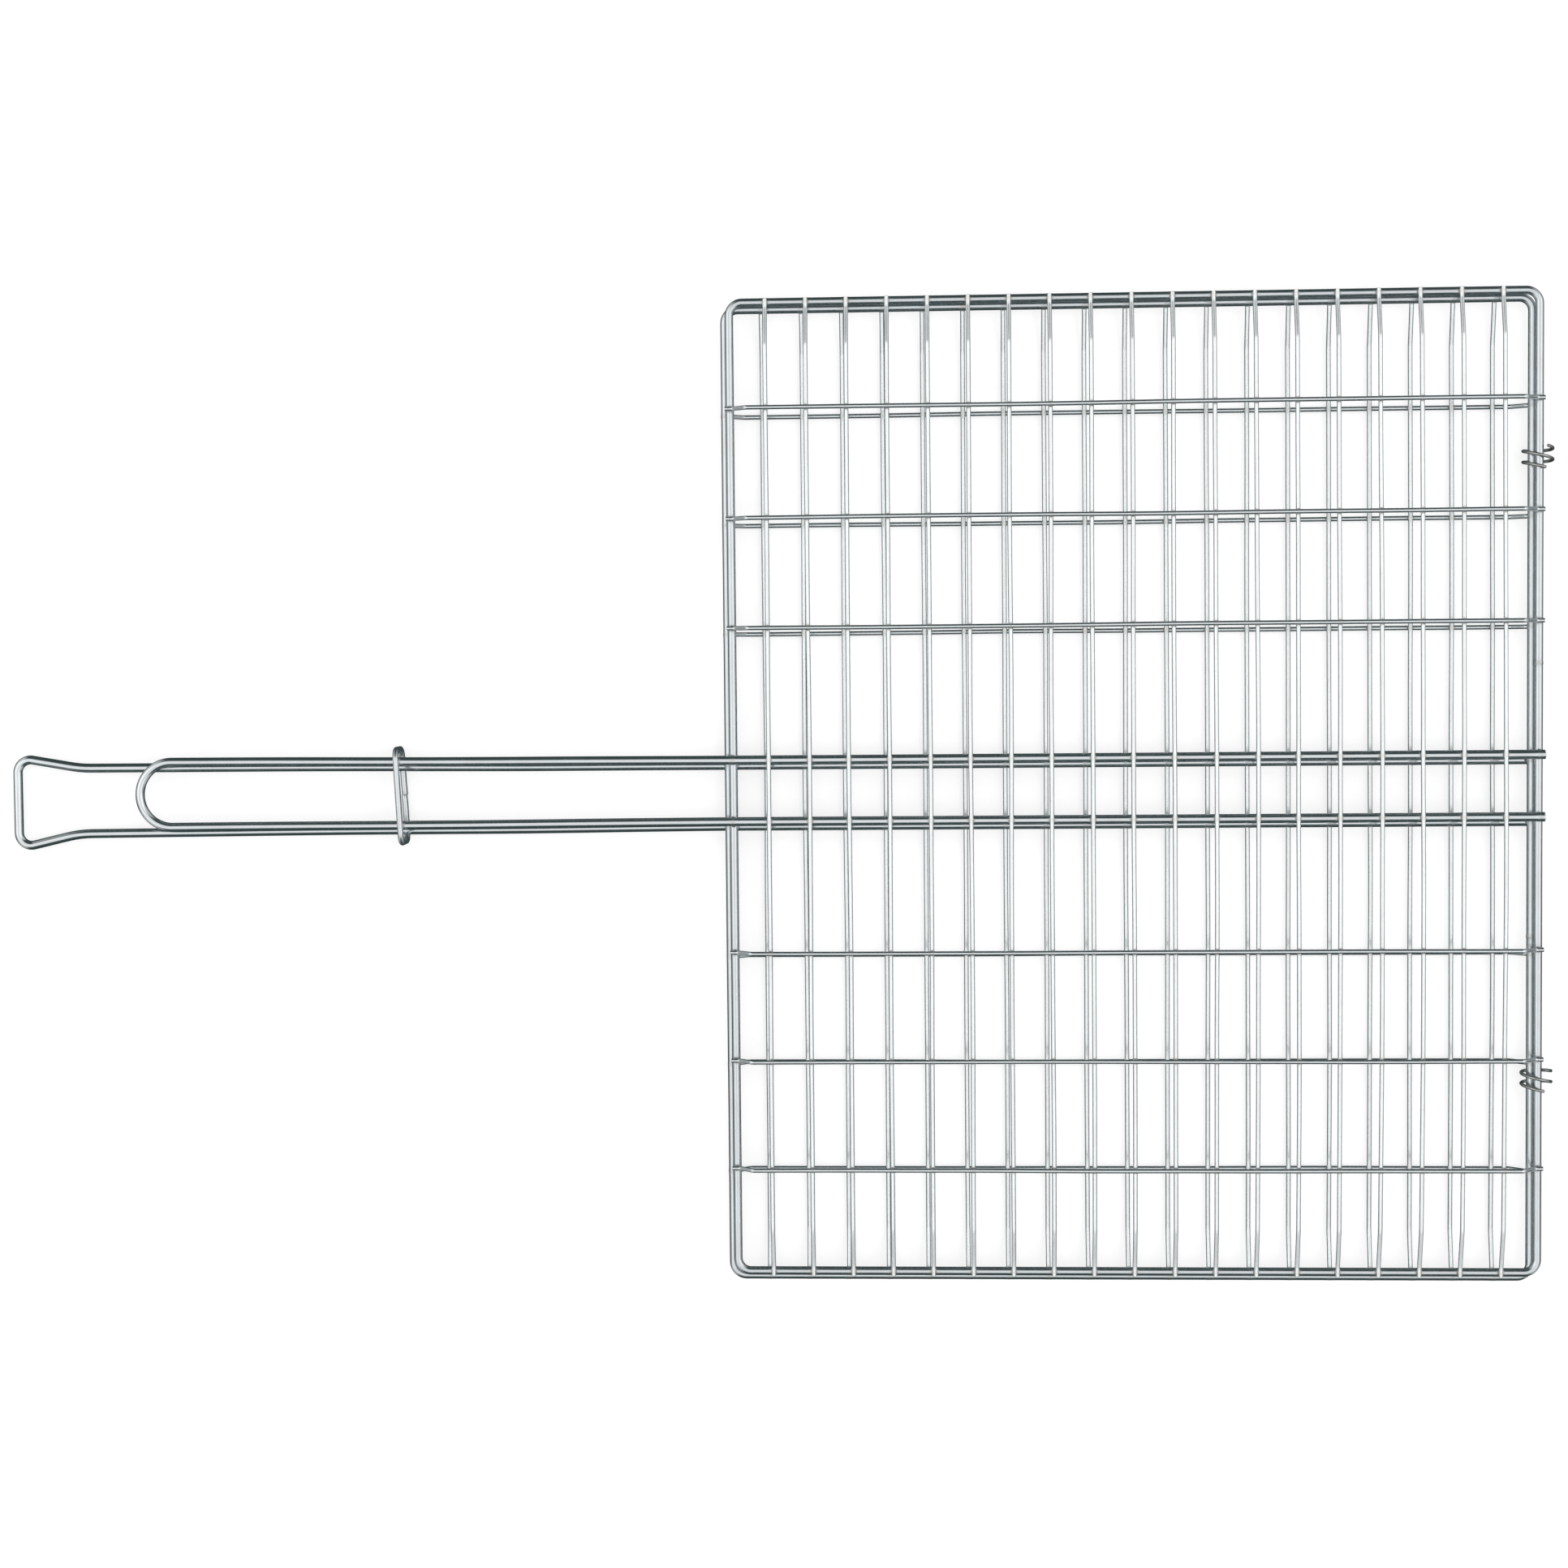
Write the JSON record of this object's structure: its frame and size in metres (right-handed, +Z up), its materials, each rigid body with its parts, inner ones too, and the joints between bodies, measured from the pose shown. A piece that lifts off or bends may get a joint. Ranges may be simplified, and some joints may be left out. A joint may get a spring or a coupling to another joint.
{
  "type": "grill basket",
  "caption": "Hinged wire grill basket: mirrored spot-welded grids linked by loose wire coils, with long wire handles and a sliding ring that locks them shut.",
  "frame": {"origin": "centre of the lower grid on the plane it rests on", "axes": "+X toward the coil hinge, -X toward the hand, +Y across the handles, +Z up through the shut basket"},
  "size_m": [0.7719, 0.4902, 0.0254],
  "materials": {
    "frame_wire": "bright nickel-chrome plated round wire, drawn surface, one butt weld",
    "handle_wire": "bright nickel-chrome plated round wire, drawn surface",
    "grid_wire": "bright nickel-chrome plated thin wire, darker at the spot welds",
    "ring_wire": "bright plated round wire with an open butt joint",
    "coil_wire": "dull dark spring steel wire"
  },
  "bodies": {
    "lower_grid": {"lower_frame": "frame_wire", "lower_handle": "handle_wire", "lower_cross_wire_01": "grid_wire", "lower_cross_wire_02": "grid_wire", "lower_cross_wire_03": "grid_wire", "lower_cross_wire_04": "grid_wire", "lower_cross_wire_05": "grid_wire", "lower_cross_wire_06": "grid_wire", "lower_cross_wire_07": "grid_wire", "lower_cross_wire_08": "grid_wire", "lower_cross_wire_09": "grid_wire", "lower_cross_wire_10": "grid_wire", "lower_cross_wire_11": "grid_wire", "lower_cross_wire_12": "grid_wire", "lower_cross_wire_13": "grid_wire", "lower_cross_wire_14": "grid_wire", "lower_cross_wire_15": "grid_wire", "lower_cross_wire_16": "grid_wire", "lower_cross_wire_17": "grid_wire", "lower_cross_wire_18": "grid_wire", "lower_cross_wire_19": "grid_wire", "lower_long_wire_1": "grid_wire", "lower_long_wire_2": "grid_wire", "lower_long_wire_3": "grid_wire", "lower_long_wire_4": "grid_wire", "lower_long_wire_5": "grid_wire", "lower_long_wire_6": "grid_wire"},
    "upper_grid": {"upper_frame": "frame_wire", "upper_handle": "handle_wire", "upper_cross_wire_01": "grid_wire", "upper_cross_wire_02": "grid_wire", "upper_cross_wire_03": "grid_wire", "upper_cross_wire_04": "grid_wire", "upper_cross_wire_05": "grid_wire", "upper_cross_wire_06": "grid_wire", "upper_cross_wire_07": "grid_wire", "upper_cross_wire_08": "grid_wire", "upper_cross_wire_09": "grid_wire", "upper_cross_wire_10": "grid_wire", "upper_cross_wire_11": "grid_wire", "upper_cross_wire_12": "grid_wire", "upper_cross_wire_13": "grid_wire", "upper_cross_wire_14": "grid_wire", "upper_cross_wire_15": "grid_wire", "upper_cross_wire_16": "grid_wire", "upper_cross_wire_17": "grid_wire", "upper_cross_wire_18": "grid_wire", "upper_cross_wire_19": "grid_wire", "upper_long_wire_1": "grid_wire", "upper_long_wire_2": "grid_wire", "upper_long_wire_3": "grid_wire", "upper_long_wire_4": "grid_wire", "upper_long_wire_5": "grid_wire", "upper_long_wire_6": "grid_wire"},
    "ring": {"lock_ring": "ring_wire"},
    "coil_left": {"hinge_coil_left": "coil_wire"},
    "coil_right": {"hinge_coil_right": "coil_wire"}
  },
  "joints": [
    {"name": "basket_open", "type": "hinge", "parent": "lower_grid", "child": "upper_grid", "pos_m": [0.20245, 0, 0.0127], "axis": [0, 1, 0], "range_deg": [0, 180]},
    {"name": "ring_slide", "type": "slide", "parent": "lower_grid", "child": "ring", "axis": [1, 0, 0], "range_m": [-0.166, 0.159]},
    {"name": "coil_left_swing", "type": "hinge", "parent": "upper_grid", "child": "coil_left", "pos_m": [0.2005, 0.1637, 0.0149], "axis": [0, 1, 0], "range_deg": [-67, 0]},
    {"name": "coil_right_swing", "type": "hinge", "parent": "upper_grid", "child": "coil_right", "pos_m": [0.2005, -0.1426, 0.0149], "axis": [0, 1, 0], "range_deg": [-67, 0]}
  ],
  "couplings": [
    {"joint": "coil_left_swing", "follows": "basket_open", "ratio": -0.37},
    {"joint": "coil_right_swing", "follows": "basket_open", "ratio": -0.37}
  ]
}
